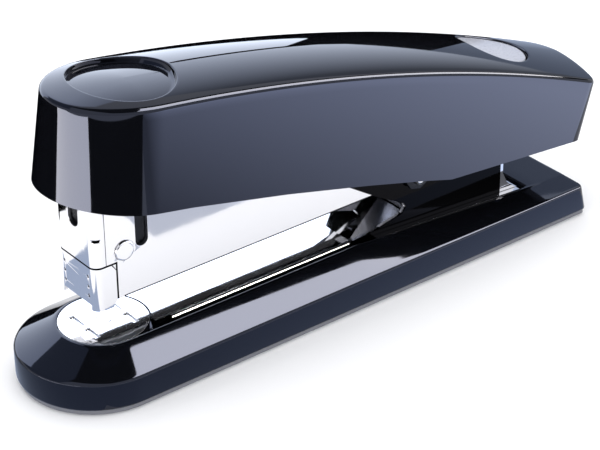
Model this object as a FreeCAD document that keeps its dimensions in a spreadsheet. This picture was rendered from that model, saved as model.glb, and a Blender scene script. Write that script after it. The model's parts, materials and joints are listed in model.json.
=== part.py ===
"""Front-loading desktop stapler, as a parametric FreeCAD document.

Millimetres, +Z up, +X towards the rear, the stapler standing on z = 0 with the middle of its
footprint at the origin. Places along the stapler are given as a distance from the front of its
base. Every driving dimension is a cell of the sheet "dims", and every sketch, primitive and
feature is bound to those cells by expressions.
"""
import FreeCAD, Part
import math
import os
import Sketcher
from FreeCAD import Placement, Rotation, Vector

doc = FreeCAD.newDocument("stapler")
sheet = doc.addObject("Spreadsheet::Sheet", "dims")
ALONG_X = Rotation(Vector(0, 1, 0), 90)
ALONG_Y = Rotation(Vector(1, 0, 0), -90)
ALONG_Z = Rotation()
finished = []


# ---------------------------------------------------------------- sizes that keep their formula
class Size:
    """A length in millimetres together with the sheet formula that it comes from."""

    def __init__(self, formula, value):
        self.formula = formula
        self.value = float(value)

    def __float__(self):
        return self.value

    def __add__(self, other):
        return joined(self, "+", other, self.value + float(other))

    def __radd__(self, other):
        return joined(other, "+", self, float(other) + self.value)

    def __sub__(self, other):
        return joined(self, "-", other, self.value - float(other))

    def __rsub__(self, other):
        return joined(other, "-", self, float(other) - self.value)

    def __mul__(self, other):
        return joined(self, "*", other, self.value * float(other))

    def __rmul__(self, other):
        return joined(other, "*", self, float(other) * self.value)

    def __truediv__(self, other):
        return joined(self, "/", other, self.value / float(other))

    def __neg__(self):
        return joined(0, "-", self, -self.value)


def formula_of(size):
    return size.formula if isinstance(size, Size) else repr(float(size))


def joined(left, sign, right, value):
    return Size(f"({formula_of(left)} {sign} {formula_of(right)})", value)


def cell(alias, value, meaning):
    """Write one driving dimension into the sheet and return it as a Size."""
    row = cell.next_row
    cell.next_row = row + 1
    sheet.set(f"A{row}", meaning)
    sheet.set(f"B{row}", str(value))
    sheet.setAlias(f"B{row}", alias)
    return Size(f"dims.{alias}", value)


cell.next_row = 1

# overall and base
overall_length = cell("overall_length", 192.5, "front of base to rear of cover")
base_half = cell("base_half", 22.5, "half width of the base, and radius of its round front")
base_length = cell("base_length", 184.0, "length of the base along its top edge")
rear_lean = cell("rear_lean", 2.0, "how far the base's rear face leans out at its foot")
sole_inset = cell("sole_inset", 0.9, "distance of the sole's edge inside the skirt")
sole_height = cell("sole_height", 1.6, "thickness of the rubber sole")
skirt_top = cell("skirt_top", 10.0, "height of the vertical skirt's top edge")
deck_top = cell("deck_top", 15.3, "height of the base's top in front, flush with the anvil")
deck_half = cell("deck_half", 13.4, "half width of the base's flat top")
deck_rear = cell("deck_rear", 10.6, "height of the flat top at the rear")
shell_wall = cell("shell_wall", 2.2, "wall of the moulded base and cover")
slope_start = cell("slope_start", 102.5, "from the front: where the top starts to fall")
slope_end = cell("slope_end", 165.5, "from the front: where the top has come down")
# anvil
anvil_place = cell("anvil_place", 25.0, "from the front: centre of the anvil disc")
anvil_radius = cell("anvil_radius", 12.5, "radius of the anvil disc")
anvil_thick = cell("anvil_thick", 1.4, "thickness of the anvil disc")
post_radius = cell("post_radius", 3.0, "radius of the anvil's post")
pocket_offset = cell("pocket_offset", 6.2, "anvil centre to its staple-forming pockets")
# base channel
channel_half = cell("channel_half", 11.0, "half width over the base channel")
channel_sheet = cell("channel_sheet", 1.3, "sheet thickness of the base channel")
fold_radius = cell("fold_radius", 1.6, "outer radius of the channel's folded edges")
# hinge
pivot_place = cell("pivot_place", 126.0, "from the front: hinge axis")
pivot_height = cell("pivot_height", 29.3, "height of the hinge axis")
pin_radius = cell("pin_radius", 1.5, "radius of the hinge pin")
pin_half = cell("pin_half", 14.2, "half length of the hinge pin")
clip_radius = cell("clip_radius", 2.1, "radius of the caps on the hinge pin's ends")
running_gap = cell("running_gap", 0.05, "radial clearance of a turning fit")
# head and magazine
head_front = cell("head_front", 17.5, "from the front: front face of the head")
head_half = cell("head_half", 8.9, "half width over the head and the magazine")
plate_sheet = cell("plate_sheet", 1.2, "sheet thickness of magazine and lever frame")
nose_bottom = cell("nose_bottom", 24.3, "lowest point of the drawer's nose")
magazine_bottom = cell("magazine_bottom", 26.3, "lower edge of the magazine")
head_seam = cell("head_seam", 37.4, "height of the seam between nose and head plate")
head_top = cell("head_top", 58.0, "top of the head plate, inside the cover")
side_seam = cell("side_seam", 24.5, "from the front: seam between nose and magazine")
stud_place = cell("stud_place", 27.1, "from the front: head stud")
stud_height = cell("stud_height", 40.4, "height of the head stud")
stud_radius = cell("stud_radius", 2.9, "radius of the head stud")
slot_place = cell("slot_place", 32.8, "from the front: guide slot in the magazine side")
slot_half = cell("slot_half", 2.0, "half width of the guide slot")
slot_bottom = cell("slot_bottom", 39.7, "lower end of the guide slot")
# staples and drawer
staple_half = cell("staple_half", 6.45, "half width over a standard 24/6 staple")
staple_wire = cell("staple_wire", 0.5, "thickness of the staple wire")
staple_foot = cell("staple_foot", 27.2, "height of the staples' points")
staple_crown = cell("staple_crown", 33.1, "height of the staples' crowns")
strip_length = cell("strip_length", 26.0, "length of the strip of staples")
rail_length = cell("rail_length", 99.0, "length of the staple rail")
rail_half = cell("rail_half", 5.7, "half width over the staple rail")
# cover
cover_pitch = cell("cover_pitch", 14.0, "degrees that the cover falls towards the rear")
cover_place = cell("cover_place", 150.5, "from the front: origin of the cover's own frame")
cover_height = cell("cover_height", 31.0, "height of the origin of the cover's own frame")
arch_radius = cell("arch_radius", 626.0, "radius of the cover's arched top edge")
arch_apex = cell("arch_apex", 26.7, "top edge at its highest, in the cover's own frame")
arch_place = cell("arch_place", -56.0, "where the top edge is highest, in the cover's own frame")
crown_rise = cell("crown_rise", 3.4, "rise of the cover's top from its edge to its middle")
crown_radius = cell("crown_radius", 54.5, "radius of the cover's crown, across the stapler")
cover_low_half = cell("cover_low_half", 21.0, "half width of the cover at its lower section")
cover_high_half = cell("cover_high_half", 17.0, "half width of the cover at its upper section")
low_section = cell("low_section", -10.0, "height of the cover's lower section in its own frame")
high_section = cell("high_section", 32.0, "height of the cover's upper section in its own frame")
low_front = cell("low_front", -121.5, "centre of the round front in the lower section")
high_front = cell("high_front", -124.5, "centre of the round front in the upper section")
low_reach = cell("low_reach", 22.2, "reach of the round front in the lower section")
high_reach = cell("high_reach", 24.0, "reach of the round front in the upper section")
thumb_place = cell("thumb_place", -125.5, "centre of the thumb recess, in the cover's own frame")
thumb_radius = cell("thumb_radius", 14.25, "radius of the thumb recess")
thumb_depth = cell("thumb_depth", 2.0, "depth of the thumb recess below the crowned top")
button_place = cell("button_place", 8.3, "centre of the release button, in the cover's own frame")
button_radius = cell("button_radius", 10.6, "radius of the release button")
button_top = cell("button_top", 25.6, "top of the release button, in the cover's own frame")
# driver and latch
driver_foot = cell("driver_foot", 33.6, "lower edge of the driver blade at rest")
latch_place = cell("latch_place", 134.5, "from the front: latch pin")
latch_height = cell("latch_height", 38.0, "height of the latch pin")
front = -(overall_length / 2)
anvil_x = front + anvil_place
pivot_x = front + pivot_place
head_x = front + head_front
inner_half = head_half - plate_sheet
doc.recompute()


# ---------------------------------------------------------------- building blocks
def finish(obj, label):
    """Name a finished sub-part; its label is its file's name."""
    obj.Label = label
    finished.append(obj)
    return obj


def bind(obj, prop, size):
    """Bind a property of an object to a size, or set it when it is a plain number."""
    if isinstance(size, Size):
        obj.setExpression(prop, size.formula)
    else:
        obj.setExpression(prop, repr(float(size)))


def place(obj, x, y, z, turn=ALONG_Z):
    obj.Placement = Placement(Vector(float(x), float(y), float(z)), turn)
    for axis, size in (("x", x), ("y", y), ("z", z)):
        if isinstance(size, Size):
            obj.setExpression(f"Placement.Base.{axis}", size.formula)
    return obj


def block(x0, x1, y0, y1, z0, z1):
    """A rectangular solid between two corners."""
    box = doc.addObject("Part::Box", "block")
    bind(box, "Length", x1 - x0)
    bind(box, "Width", y1 - y0)
    bind(box, "Height", z1 - z0)
    return place(box, x0, y0, z0)


def rod(x, y, z, radius, length, turn=ALONG_Z):
    """A round solid that starts at a point and runs along its turned axis."""
    round_bar = doc.addObject("Part::Cylinder", "rod")
    bind(round_bar, "Radius", radius)
    bind(round_bar, "Height", length)
    return place(round_bar, x, y, z, turn)


def across(x, z, radius, half_length):
    """A round solid across the stapler, from side to side."""
    return rod(x, -half_length, z, radius, 2 * half_length, ALONG_Y)


def fuse(*shapes):
    union = doc.addObject("Part::MultiFuse", "fuse")
    union.Shapes = list(shapes)
    union.Refine = True
    return union


def cut(base, *tools):
    """Take the tools away from the base, and refuse a tool that misses it."""
    for tool in tools:
        rest = doc.addObject("Part::Cut", "cut")
        rest.Base = base
        rest.Tool = tool
        rest.Refine = True
        doc.recompute()
        if base.Shape.Volume - rest.Shape.Volume < 1e-3:
            raise RuntimeError(f"{tool.Name} takes nothing from {base.Name}")
        base = rest
    return base


def common(*shapes):
    overlap = doc.addObject("Part::MultiCommon", "common")
    overlap.Shapes = list(shapes)
    return overlap


def new_body():
    return doc.addObject("PartDesign::Body", "body")


def flat_sketch(body, plane_role, offset):
    """An empty sketch on one of the body's own origin planes, lifted off it by an offset."""
    plane = [item for item in body.Origin.OriginFeatures if item.Role == plane_role][0]
    sketch = body.newObject("Sketcher::SketchObject", "outline")
    sketch.AttachmentSupport = (plane, [""])
    sketch.MapMode = "FlatFace"
    if isinstance(offset, Size) or offset:
        sketch.AttachmentOffset = Placement(Vector(0, 0, float(offset)), Rotation())
        bind(sketch, "AttachmentOffset.Base.z", offset)
    return sketch


def hold(sketch, kind, size, *where):
    """Constrain a coordinate or a radius, bound to its size."""
    index = sketch.addConstraint(Sketcher.Constraint(kind, *where, float(size)))
    if isinstance(size, Size):
        sketch.setExpression(f"Constraints[{index}]", size.formula)


def polygon(body, plane_role, points, offset=0):
    """A closed outline through the points, each corner held by its two coordinates."""
    sketch = flat_sketch(body, plane_role, offset)
    ends = [Vector(float(a), float(b), 0) for a, b in points]
    for index, end in enumerate(ends):
        sketch.addGeometry(Part.LineSegment(end, ends[(index + 1) % len(ends)]), False)
    for index, (first, second) in enumerate(points):
        following = (index + 1) % len(points)
        sketch.addConstraint(Sketcher.Constraint("Coincident", index, 2, following, 1))
        hold(sketch, "DistanceX", first, -1, 1, index, 1)
        hold(sketch, "DistanceY", second, -1, 1, index, 1)
    return sketch


def round_front(body, centre, radius, rear, height):
    """A plan outline with a half-round front and a straight rear end."""
    sketch = flat_sketch(body, "XY_Plane", height)
    middle, reach, end = float(centre), float(radius), float(rear)
    arc = Part.ArcOfCircle(Part.Circle(Vector(middle, 0, 0), Vector(0, 0, 1), reach),
                           math.pi / 2, 3 * math.pi / 2)
    sketch.addGeometry(arc, False)
    corners = [(middle, -reach), (end, -reach), (end, reach), (middle, reach)]
    for (x0, y0), (x1, y1) in zip(corners, corners[1:]):
        sketch.addGeometry(Part.LineSegment(Vector(x0, y0, 0), Vector(x1, y1, 0)), False)
    for first, first_end, second, second_end in ((0, 2, 1, 1), (1, 2, 2, 1), (2, 2, 3, 1), (3, 2, 0, 1)):
        sketch.addConstraint(Sketcher.Constraint("Coincident", first, first_end, second, second_end))
    hold(sketch, "DistanceX", centre, -1, 1, 0, 3)
    hold(sketch, "Radius", radius, 0)
    sketch.addConstraint(Sketcher.Constraint("PointOnObject", 0, 3, -1))
    sketch.addConstraint(Sketcher.Constraint("Vertical", 0, 3, 1, 1))
    sketch.addConstraint(Sketcher.Constraint("Vertical", 0, 3, 3, 2))
    sketch.addConstraint(Sketcher.Constraint("Horizontal", 1))
    sketch.addConstraint(Sketcher.Constraint("Horizontal", 3))
    sketch.addConstraint(Sketcher.Constraint("Vertical", 2))
    hold(sketch, "DistanceX", rear, -1, 1, 1, 2)
    return sketch


def pad(body, sketch, length, middle=False):
    feature = body.newObject("PartDesign::Pad", "pad")
    feature.Profile = sketch
    bind(feature, "Length", length)
    if middle:
        feature.SideType = "Symmetric"
    doc.recompute()
    return feature


def loft(body, sketches, straight=True):
    feature = body.newObject("PartDesign::AdditiveLoft", "loft")
    feature.Profile = sketches[0]
    feature.Sections = sketches[1:]
    feature.Ruled = straight
    doc.recompute()
    return feature


def round_edges(body, radius, wanted):
    """Round the edges of the body's last feature whose middle point is wanted."""
    last = body.Tip
    names = [f"Edge{index}" for index, edge in enumerate(last.Shape.Edges, 1)
             if wanted(edge.valueAt((edge.FirstParameter + edge.LastParameter) / 2), edge)]
    fillet = body.newObject("PartDesign::Fillet", "fillet")
    fillet.Base = (last, names)
    bind(fillet, "Radius", radius)
    doc.recompute()
    return fillet


def side_plate(points, width, y_middle=0):
    """A flat piece with a side outline (along, up), as wide as width across the stapler."""
    body = new_body()
    pad(body, polygon(body, "XZ_Plane", points, -y_middle if y_middle else 0), width, middle=True)
    return body


def both_sides(points, inner, outer):
    """The same side plate left and right, between two distances from the middle."""
    width = outer - inner
    middle = inner + width / 2
    return [side_plate(points, width, middle), side_plate(points, width, -middle)]


def coil(x, y, z, radius, wire, turns, length, turn=ALONG_Z):
    """A coil spring of round wire along its turned axis, from its first turn's centre."""
    path = doc.addObject("Part::Helix", "coil_path")
    bind(path, "Pitch", length / turns)
    bind(path, "Height", length)
    bind(path, "Radius", radius)
    section = doc.addObject("Part::Circle", "coil_section")
    bind(section, "Radius", wire)
    section.Placement = Placement(Vector(float(radius), 0, 0), Rotation(Vector(1, 0, 0), 90))
    if isinstance(radius, Size):
        section.setExpression("Placement.Base.x", radius.formula)
    wound = doc.addObject("Part::Sweep", "coil")
    wound.Sections = [section]
    wound.Spine = (path, ["Edge1"])
    wound.Solid = True
    wound.Frenet = True
    return place(wound, x, y, z, turn)


def from_front(points_xz):
    """Move a side outline given from the stapler's front into its own frame."""
    return [(front + along, up) for along, up in points_xz]


# ---------------------------------------------------------------- base
def base_shell():
    """Moulded base: from_front skirt, sloping sides, a well for the channel, hollow underneath."""
    body = new_body()
    rear = front + base_length
    foot = round_front(body, front + base_half, base_half, rear + rear_lean, sole_height)
    loft(body, [foot, round_front(body, front + base_half, base_half, rear, skirt_top)])
    nose_low = round_front(body, front + base_half, base_half, front + base_half + 3, skirt_top)
    nose_high = round_front(body, anvil_x, deck_half, front + base_half + 3, deck_top)
    loft(body, [nose_low, nose_high])

    def section(along, top):
        corners = [(-base_half, skirt_top - 1), (base_half, skirt_top - 1), (base_half, skirt_top),
                   (deck_half, top), (-deck_half, top), (-base_half, skirt_top)]
        return polygon(body, "YZ_Plane", corners, front + along)

    loft(body, [section(base_half + 2.9, deck_top), section(slope_start, deck_top)])
    loft(body, [section(slope_start, deck_top), section(slope_end, deck_rear + 0.3),
                section(base_length, deck_rear)])
    well = side_plate([(anvil_x, deck_top - 3.0), (front + 110.5, deck_top - 3.0),
                       (front + 168.0, deck_rear - 1.5), (front + 168.0, deck_top + 3),
                       (anvil_x, deck_top + 3)], 2 * deck_half - 1.2)
    disc_seat = rod(anvil_x, 0, deck_top - anvil_thick - 0.1, anvil_radius + 0.4, 5)
    hollow = new_body()
    pad(hollow, round_front(hollow, front + base_half, base_half - shell_wall, rear - shell_wall, 0),
        skirt_top - 1.6)
    shell = cut(body, well, disc_seat, hollow)
    bosses = [rod(front + along, 0, sole_height, 4.2, 8) for along in (60, 92, 154)]
    stiff = fuse(shell, rod(anvil_x, 0, sole_height, post_radius + 5.6, 8), *bosses)
    seats = [rod(front + along, 0, 0, 2.8, 5.3) for along in (60, 92, 154)]
    holes = [rod(front + along, 0, 1, 1.55, 14) for along in (60, 92, 154)]
    lift_well = rod(anvil_x, 0, 0, post_radius + 3.8, 8.4)
    return cut(stiff, rod(anvil_x, 0, 1, post_radius + 0.3, 14), lift_well, *seats, *holes)


def base_sole():
    """Rubber sole over the whole underside, open only under the anvil's lift knob."""
    body = new_body()
    rear = front + base_length + rear_lean - sole_inset
    pad(body, round_front(body, front + base_half, base_half - sole_inset, rear, 0), sole_height)
    return cut(body, rod(anvil_x, 0, -1, post_radius + 3.8, 4))


def base_channel():
    """Folded steel channel: flat deck, turned-down edges, two ears that carry the hinge."""
    top, sheet_thick = deck_top, channel_sheet
    neck = side_plate(from_front([(35.5, top), (slope_start, top), (slope_start, top - sheet_thick),
                               (35.5, top - sheet_thick)]), 2 * (channel_half - fold_radius))
    floor = side_plate(from_front([(slope_start, top), (167.0, deck_rear + 0.35),
                                (167.0, deck_rear + 0.35 - sheet_thick),
                                (slope_start, top - sheet_thick)]), 2 * channel_half - 0.2)
    deck = new_body()
    half, foot, under = channel_half, top - 2.8, top - sheet_thick
    fold = [(-half, foot), (-half, top), (half, top), (half, foot), (half - sheet_thick, foot),
            (half - sheet_thick, under), (sheet_thick - half, under), (sheet_thick - half, foot)]
    pad(deck, polygon(deck, "YZ_Plane", fold, front + 40.5), 62.3)

    def outer_fold(point, edge):
        return abs(abs(point.y) - float(half)) < 0.01 and abs(point.z - float(top)) < 0.01

    round_edges(deck, fold_radius, outer_fold)
    flanges = both_sides(from_front([(110.5, 14.73), (166.5, 10.99), (166.5, 9.9), (110.5, 13.6)]),
                         channel_half - 1, channel_half + 1.6)
    ears = both_sides(from_front([(slope_start, top - sheet_thick), (slope_start, top), (112.5, 16.2),
                               (121.5, 18.0), (122.9, 19.6), (122.3, 21.1), (111.7, 27.1),
                               (103.5, 32.4), (96.5, 37.0), (97.5, 38.6), (156.0, 38.6),
                               (161.0, 34.0), (161.0, 17.6), (162.8, 14.0), (166.5, 11.0),
                               (166.5, 10.2)]),
                      channel_half - 1.4, channel_half)
    steel = fuse(neck, floor, deck, *flanges, *ears)
    disc_gap = rod(anvil_x, 0, 0, anvil_radius + 0.5, 40)
    pin_hole = across(pivot_x, pivot_height, pin_radius + 0.02, channel_half + 2)
    rear_thread = rod(front + 154, 0, 0, 1.5, 20)
    return cut(steel, disc_gap, pin_hole, rear_thread)


def group(pieces):
    """Separate solids that are one node."""
    several = doc.addObject("Part::Compound", "group")
    several.Links = pieces
    return several


def base_screws():
    """Screws from below: two into nuts under the deck, one into the channel's rear floor."""
    pieces = []
    for along, shank in ((60, 8.4), (92, 8.4), (154, 6.2)):
        head = rod(front + along, 0, 3.3, 2.6, 1.9)
        pieces.append(fuse(head, rod(front + along, 0, 5.2, 1.45, shank)))
    return group(pieces)


def channel_nuts():
    """Square nuts that sit under the channel's deck and take the base screws."""
    pieces = []
    for along, low in ((60, 12.4), (92, 12.4)):
        nut = block(front + along - 2.7, front + along + 2.7, -2.7, 2.7, low, low + 1.5)
        pieces.append(cut(nut, rod(front + along, 0, 0, 1.5, 40)))
    return group(pieces)


def hinge_clips():
    """Black retaining caps on the two ends of the hinge pin."""
    pieces = []
    for side in (-1, 1):
        start = pin_half - 1.1 if side > 0 else -pin_half
        disc = rod(pivot_x, start, pivot_height, clip_radius, 1.1, ALONG_Y)
        pieces.append(cut(disc, across(pivot_x, pivot_height, pin_radius, 16)))
    return group(pieces)


def return_spring():
    """Leaf spring that lifts the magazine off the base channel."""
    return side_plate(from_front([(128.0, 13.75), (147.0, 12.45), (147.0, 13.05), (129.0, 14.35),
                               (119.0, 25.9), (111.0, 26.1), (111.0, 25.5), (118.6, 25.3)]), 14.4)


# ---------------------------------------------------------------- anvil
def anvil_disc():
    """Turning anvil: a disc with two pairs of pockets that bend the staples in or out."""
    disc = rod(anvil_x, 0, deck_top - anvil_thick, anvil_radius, anvil_thick)
    pockets = []
    for turned, depth in ((-1, 0.55), (1, 0.5)):
        for side in (-1, 1):
            low, high = (1.0, 6.6) if side > 0 else (-6.6, -1.0)
            middle = anvil_x + turned * pocket_offset
            pockets.append(block(middle - 0.75, middle + 0.75, low, high, deck_top - depth,
                                 deck_top + 1))
    return cut(disc, rod(anvil_x, 0, 0, 2.2, 30), *pockets)


def anvil_post():
    """Post under the anvil disc, riveted through its middle, turning in the lift knob."""
    return fuse(rod(anvil_x, 0, deck_top - 0.15 - anvil_thick, 2.2, anvil_thick + 0.1),
                rod(anvil_x, 0, 2.2, post_radius, deck_top - anvil_thick - 2.2))


def anvil_knob():
    """Knob under the base that lifts the anvil so that it can be turned."""
    knob = rod(anvil_x, 0, 1.3, post_radius + 3.3, 2.6)
    return cut(knob, rod(anvil_x, 0, 0, post_radius + running_gap, 9))


# ---------------------------------------------------------------- magazine and head
def magazine_channel():
    """Steel housing: two sides, lips under the drawer, a web across the top."""
    seam = side_seam
    outline = from_front([(seam, magazine_bottom), (seam, head_seam - 2.2), (23.1, head_seam),
                       (21.4, head_seam), (21.4, head_top), (46.0, head_top), (72.0, 54.0),
                       (104.0, 45.0), (140.0, 42.0), (140.0, magazine_bottom)])
    sides = both_sides(outline, inner_half, head_half)
    lips = []
    for side in (-1, 1):
        low, high = (6.0, inner_half + 0.2) if side > 0 else (-inner_half - 0.2, -6.0)
        lips.append(block(front + seam, front + 138, low, high, magazine_bottom,
                          magazine_bottom + 0.7))
    web = block(front + 46, front + 122, -inner_half - 0.2, inner_half + 0.2, 42.8, 44.0)
    steel = fuse(*sides, *lips, web)
    slot = fuse(across(front + slot_place, slot_bottom + slot_half, slot_half, 20),
                block(front + slot_place - slot_half, front + slot_place + slot_half, -20, 20,
                      slot_bottom + slot_half, head_top + 5))
    return cut(steel, slot, across(front + stud_place, stud_height, stud_radius, 20),
               across(pivot_x, pivot_height, pin_radius + running_gap, 20),
               across(front + latch_place, latch_height, 1.5, 20))


def head_wrap(low, high, reach):
    """Sheet folded round the head's front: a U in plan, with rounded corners."""
    body = new_body()
    inside = head_half - plate_sheet
    outline = [(head_x, -head_half), (reach, -head_half), (reach, -inside),
               (head_x + 1, -inside), (head_x + 1, inside), (reach, inside), (reach, head_half),
               (head_x, head_half)]
    pad(body, polygon(body, "XY_Plane", outline, low), high - low)

    def front_corner(point, edge):
        upright_edge = abs(edge.tangentAt(edge.FirstParameter).z) > 0.9
        return upright_edge and abs(point.x - float(head_x)) < 0.01

    round_edges(body, 2.6, front_corner)
    return body


def head_plate():
    """Upper front of the head, with its relief slot for the driver."""
    plate = head_wrap(head_seam + 0.1, head_top, front + 21.3)
    slot = fuse(block(head_x - 2, head_x + 1.5, -2.3, 2.3, 49.7, head_top + 2),
                rod(head_x - 2, 0, 49.7, 2.3, 3.5, ALONG_X))
    notches = [block(head_x - 1, head_x + 2.4, side * 9 - 1.6, side * 9 + 1.6, 45.3, 46.1)
               for side in (-1, 1)]
    return cut(plate, slot, *notches)


def head_studs():
    """Rivets with domed heads, one on each side of the head."""
    pieces = []
    for side in (-1, 1):
        start = inner_half if side > 0 else -(head_half + 0.7)
        stud = rod(front + stud_place, start, stud_height, stud_radius, plate_sheet + 0.7, ALONG_Y)
        pieces.append(stud)
    return group(pieces)


def drawer_nose():
    """Lower front of the head, which slides out with the staple rail."""
    wrap = head_wrap(nose_bottom, head_seam - 0.1, front + side_seam - 0.15)
    foot = block(head_x + 2.6, front + side_seam - 0.15, -inner_half - 0.2, inner_half + 0.2,
                 nose_bottom, staple_foot - 0.2)
    whole = fuse(wrap, foot)
    corner = side_plate(from_front([(22.7, 45), (22.7, head_seam), (26.0, 32.85), (26.0, 45)]), 40)
    lower = side_plate(from_front([(22.9, nose_bottom - 1), (22.9, nose_bottom),
                                (side_seam, nose_bottom + 2.2), (30, nose_bottom + 2.2),
                                (30, nose_bottom - 1)]), 40)
    exit_relief = block(head_x - 1, head_x + 1.6, -6.6, 6.6, nose_bottom - 1, nose_bottom + 1.6)
    dimples = [rod(head_x - 0.1, side * 5.6, level, 0.45, 0.5, ALONG_X)
               for side in (-1, 1) for level in (28.4, 31.4, 34.4)]
    return cut(whole, corner, lower, exit_relief, *dimples)


# ---------------------------------------------------------------- drawer
def staple_rail():
    """Inverted channel that the staples straddle, slotted for the pusher's tongue."""
    start = head_x + 1.9
    outer = block(start, start + rail_length, -rail_half, rail_half, staple_foot - 0.2,
                  staple_crown - 0.9)
    inside = block(start - 1, start + rail_length + 1, -rail_half + 1, rail_half - 1,
                   staple_foot - 1, staple_crown - 1.9)
    slot = block(start + 22, start + rail_length - 4, -1.2, 1.2, 20, 40)
    return cut(outer, inside, slot)


def staple_strip():
    """A strip of glued staples."""
    body = new_body()
    low, high, wire = staple_foot, staple_crown, staple_wire
    outline = [(-staple_half, low), (-staple_half, high), (staple_half, high), (staple_half, low),
               (staple_half - wire, low), (staple_half - wire, high - wire),
               (-staple_half + wire, high - wire), (-staple_half + wire, low)]
    pad(body, polygon(body, "YZ_Plane", outline, head_x + 1.9), strip_length)
    return body


def staple_pusher():
    """Saddle that pushes the strip forward, with a tongue and eye on the rod."""
    start = head_x + 2.0 + strip_length
    saddle = cut(block(start, start + 9, -6.4, 6.4, staple_foot, staple_crown),
                 block(start - 1, start + 10, -rail_half - 0.15, rail_half + 0.15,
                       staple_foot - 1, staple_crown - 0.75))
    tongue = block(start + 1, start + 8, -0.9, 0.9, 29.5, staple_crown - 0.4)
    eye = rod(start + 1, 0, 29.3, 1.7, 7, ALONG_X)
    return cut(fuse(saddle, tongue, eye), rod(start - 5, 0, 29.3, 1.26, 30, ALONG_X))


def drawer_stop():
    """Block at the rail's rear end that holds the rod and is caught by the latch."""
    start = head_x + 1.9 + rail_length - 4
    low = block(start + 0.6, start + 4, -rail_half + 1.1, rail_half - 1.1, staple_foot - 0.2,
                staple_crown - 1.95)
    tail = block(start + 4, start + 7, -rail_half, rail_half, staple_foot - 0.2, 34.0)
    return cut(fuse(low, tail), rod(start - 1, 0, 29.3, 1.2, 6, ALONG_X))


# ---------------------------------------------------------------- driver
def driver_bracket():
    """Dark steel bracket that carries the blade and is guided by the pin in the side slots."""
    back = head_x + 1.75
    bridge = block(back, back + 6.2, -7.5, 7.5, 43, 62)
    cheeks = [block(back, front + 37, low, low + 0.8, 39.2, 62) for low in (-7.5, 6.7)]
    window = block(back - 1, back + 7, -5.4, 5.4, 57.9, 61.2)
    return cut(fuse(bridge, *cheeks), window, across(front + slot_place, 56, 1.75, 20))


# ---------------------------------------------------------------- latch
def latch_lever():
    """Two-armed lever: its hook holds the drawer, its long arm lies under the button."""
    outline = from_front([(114.6, 34.2), (117.0, 34.2), (117.8, 35.8), (131.0, 36.0), (134.5, 35.2),
                       (158.5, 40.4), (165.0, 40.4), (165.0, 41.7), (157.0, 42.2),
                       (134.5, 40.8), (114.6, 38.0)])
    return cut(side_plate(outline, 6.0), across(front + latch_place, latch_height, 1.55, 12))


# ---------------------------------------------------------------- handle
def in_cover_frame(obj):
    """Turn and move a piece from the cover's own frame, which falls towards the rear."""
    obj.Placement = Placement(Vector(float(front + cover_place), 0, float(cover_height)),
                              Rotation(Vector(0, 1, 0), float(cover_pitch)))
    obj.setExpression("Placement.Base.x", (front + cover_place).formula)
    obj.setExpression("Placement.Base.z", cover_height.formula)
    obj.setExpression("Placement.Rotation.Angle", cover_pitch.formula)
    return obj


screw_rows = (-75, -45)


def tapered_hull(inset):
    """The cover's plan, half-elliptic in front, tapering upwards, set in by a wall thickness."""
    body = new_body()
    rings, sections = [], []
    for centre, reach, half, height in ((low_front, low_reach, cover_low_half, low_section),
                                        (high_front, high_reach, cover_high_half, high_section)):
        ring = doc.addObject("Part::Ellipse", "ring")
        bind(ring, "MajorRadius", reach - inset)
        bind(ring, "MinorRadius", half - inset)
        rings.append(place(ring, centre, 0, height))
        corners = [(centre, inset - half), (60, inset - half), (60, half - inset),
                   (centre, half - inset)]
        sections.append(polygon(body, "XY_Plane", corners, height))
    loft(body, sections)
    tip = doc.addObject("Part::Loft", "round_tip")
    tip.Sections = rings
    tip.Solid = True
    tip.Ruled = True
    return fuse(tip, body)


def arched_top(inset):
    """Everything below the crowned, arched top: a cross-section turned about a far axis."""
    body = new_body()
    sketch = flat_sketch(body, "YZ_Plane", arch_place)
    half, foot = 25.0, -60.0
    centre = arch_apex + crown_rise - inset - crown_radius
    middle, radius = float(centre), float(crown_radius)
    rise = math.acos(half / radius)
    crown = Part.Circle(Vector(0, middle, 0), Vector(0, 0, 1), radius)
    sketch.addGeometry(Part.ArcOfCircle(crown, rise, math.pi - rise), False)
    shoulder = middle + radius * math.sin(rise)
    corners = [(half, shoulder), (half, foot), (-half, foot), (-half, shoulder)]
    for (y0, z0), (y1, z1) in zip(corners, corners[1:]):
        sketch.addGeometry(Part.LineSegment(Vector(y0, z0, 0), Vector(y1, z1, 0)), False)
    joins = ((0, 1, 1, 1), (1, 2, 2, 1), (2, 2, 3, 1), (3, 2, 0, 2))
    for join in joins:
        sketch.addConstraint(Sketcher.Constraint("Coincident", *join))
    sketch.addConstraint(Sketcher.Constraint("PointOnObject", 0, 3, -2))
    hold(sketch, "DistanceY", centre, -1, 1, 0, 3)
    hold(sketch, "Radius", crown_radius, 0)
    sketch.addConstraint(Sketcher.Constraint("Vertical", 1))
    sketch.addConstraint(Sketcher.Constraint("Horizontal", 2))
    sketch.addConstraint(Sketcher.Constraint("Vertical", 3))
    hold(sketch, "DistanceX", half, -1, 1, 1, 2)
    hold(sketch, "DistanceY", foot, -1, 1, 1, 2)
    hold(sketch, "DistanceX", -half, -1, 1, 3, 1)
    axis_height = arch_apex - arch_radius
    level = float(axis_height)
    sketch.addGeometry(Part.LineSegment(Vector(-half, level, 0), Vector(half, level, 0)), True)
    sketch.addConstraint(Sketcher.Constraint("Horizontal", 4))
    hold(sketch, "DistanceY", axis_height, -1, 1, 4, 1)
    hold(sketch, "DistanceX", -half, -1, 1, 4, 1)
    hold(sketch, "DistanceX", half, -1, 1, 4, 2)
    turn = body.newObject("PartDesign::Revolution", "arch")
    turn.Profile = sketch
    turn.ReferenceAxis = (sketch, ["Axis0"])
    turn.Angle = 30
    turn.Midplane = True
    doc.recompute()
    return body


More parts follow.
